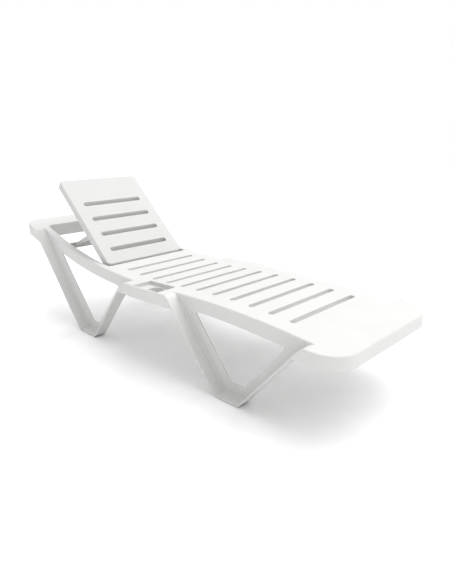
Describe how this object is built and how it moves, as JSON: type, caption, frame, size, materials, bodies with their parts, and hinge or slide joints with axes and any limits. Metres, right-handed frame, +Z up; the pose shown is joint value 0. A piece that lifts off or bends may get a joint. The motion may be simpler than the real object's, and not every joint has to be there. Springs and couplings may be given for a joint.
{
  "type": "reclining sun lounger",
  "caption": "Stackable one-piece moulded sun lounger with a slotted deck, V-shaped legs, side cup tray and a tilting slotted backrest on a folding prop.",
  "frame": {"origin": "on the ground, under the middle of the lounger's bounding box", "axes": "+X from the raised head end to the foot end, +Y to the left of a person lying on it, +Z up; the cup tray is on the -Y side"},
  "size_m": [2.06, 0.67, 0.7476],
  "materials": {
    "white_polypropylene": "satin moulded",
    "off_white_polypropylene": "satin moulded",
    "off_white_nylon": "satin",
    "grey_rubber": "matte"
  },
  "bodies": {
    "frame": {"seat_deck": "white_polypropylene", "foot_panel": "white_polypropylene", "head_bar": "white_polypropylene", "cup_tray": "white_polypropylene", "side_rail_right": "white_polypropylene", "middle_wing_right": "white_polypropylene", "head_leg_right": "white_polypropylene", "foot_leg_right": "white_polypropylene", "notch_rack_right": "white_polypropylene", "hinge_pin_right": "off_white_nylon", "head_foot_pad_right": "grey_rubber", "foot_foot_pad_right": "grey_rubber", "side_rail_left": "white_polypropylene", "middle_wing_left": "white_polypropylene", "head_leg_left": "white_polypropylene", "foot_leg_left": "white_polypropylene", "notch_rack_left": "white_polypropylene", "hinge_pin_left": "off_white_nylon", "head_foot_pad_left": "grey_rubber", "foot_foot_pad_left": "grey_rubber"},
    "backrest": {"backrest_panel": "white_polypropylene", "prop_pin_right": "off_white_nylon", "prop_pin_left": "off_white_nylon"},
    "prop": {"prop_frame": "off_white_polypropylene"}
  },
  "joints": [
    {"name": "backrest_tilt", "type": "hinge", "parent": "frame", "child": "backrest", "pos_m": [-0.37285, 0, 0.35066], "axis": [0, 1, 0], "range_deg": [-30, 27]},
    {"name": "prop_fold", "type": "hinge", "parent": "backrest", "child": "prop", "pos_m": [-0.51936, 0, 0.4868], "axis": [0, 1, 0], "range_deg": [-52.5, 58.5]}
  ],
  "couplings": [
    {"joint": "prop_fold", "follows": "backrest_tilt", "ratio": -1.92}
  ]
}
